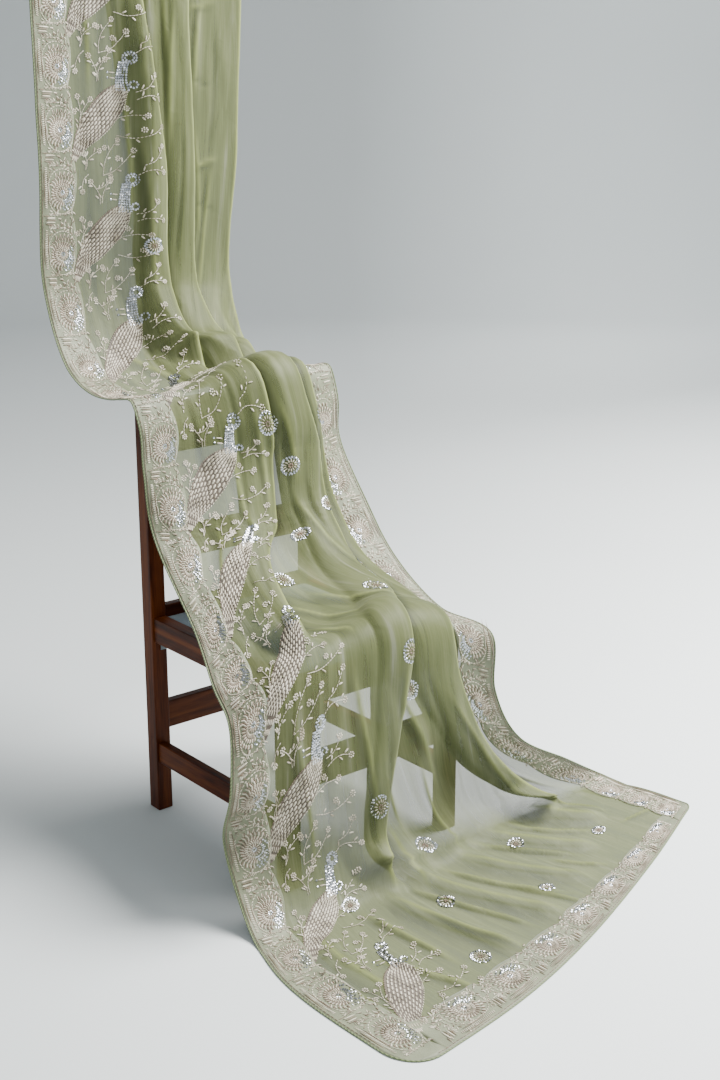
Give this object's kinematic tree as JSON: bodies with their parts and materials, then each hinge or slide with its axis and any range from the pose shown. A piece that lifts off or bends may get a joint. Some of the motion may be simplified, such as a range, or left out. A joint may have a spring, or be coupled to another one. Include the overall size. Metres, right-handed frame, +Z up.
{
  "type": "organza saree on a wooden chair",
  "caption": "Long sheer organza saree hung from a rod and draped over a plain wooden chair, falling from the seat and spread on the floor.",
  "frame": {"origin": "middle of the base of the whole object's box, on the floor", "axes": "+Z up, +X to the chair's right as seen from in front, +Y to the chair's rear"},
  "size_m": [1.163, 1.5056, 1.8852],
  "materials": {
    "organza": "sheer sage green silk organza with a soft sheen",
    "border_backing": "pale green opaque backing under silver and cream embroidery",
    "piping": "dark green braid",
    "rod_wood": "satin brown wood",
    "chair_wood": "satin dark red-brown polished wood",
    "seat_cloth": "plain grey-blue woven cloth",
    "steel": "dull steel"
  },
  "bodies": {
    "root": {"saree_turnover": "organza", "saree_hang": "organza", "saree_swag": "organza", "saree_back": "organza", "saree_fall": "organza", "saree_spread": "organza", "border_left": "border_backing", "border_right": "border_backing", "border_end": "border_backing", "piping_left": "piping", "piping_right": "piping", "piping_end": "piping", "rod": "rod_wood", "leg_front_left": "chair_wood", "leg_front_right": "chair_wood", "post_rear_left": "chair_wood", "post_rear_right": "chair_wood", "rail_front": "chair_wood", "stretcher_front": "chair_wood", "rail_rear": "chair_wood", "stretcher_rear": "chair_wood", "back_rail_low": "chair_wood", "back_rail_top": "chair_wood", "rail_left": "chair_wood", "rail_right": "chair_wood", "stretcher_left": "chair_wood", "stretcher_right": "chair_wood", "seat_pad": "seat_cloth", "plate_left": "steel", "plate_right": "steel"}
  },
  "joints": []
}
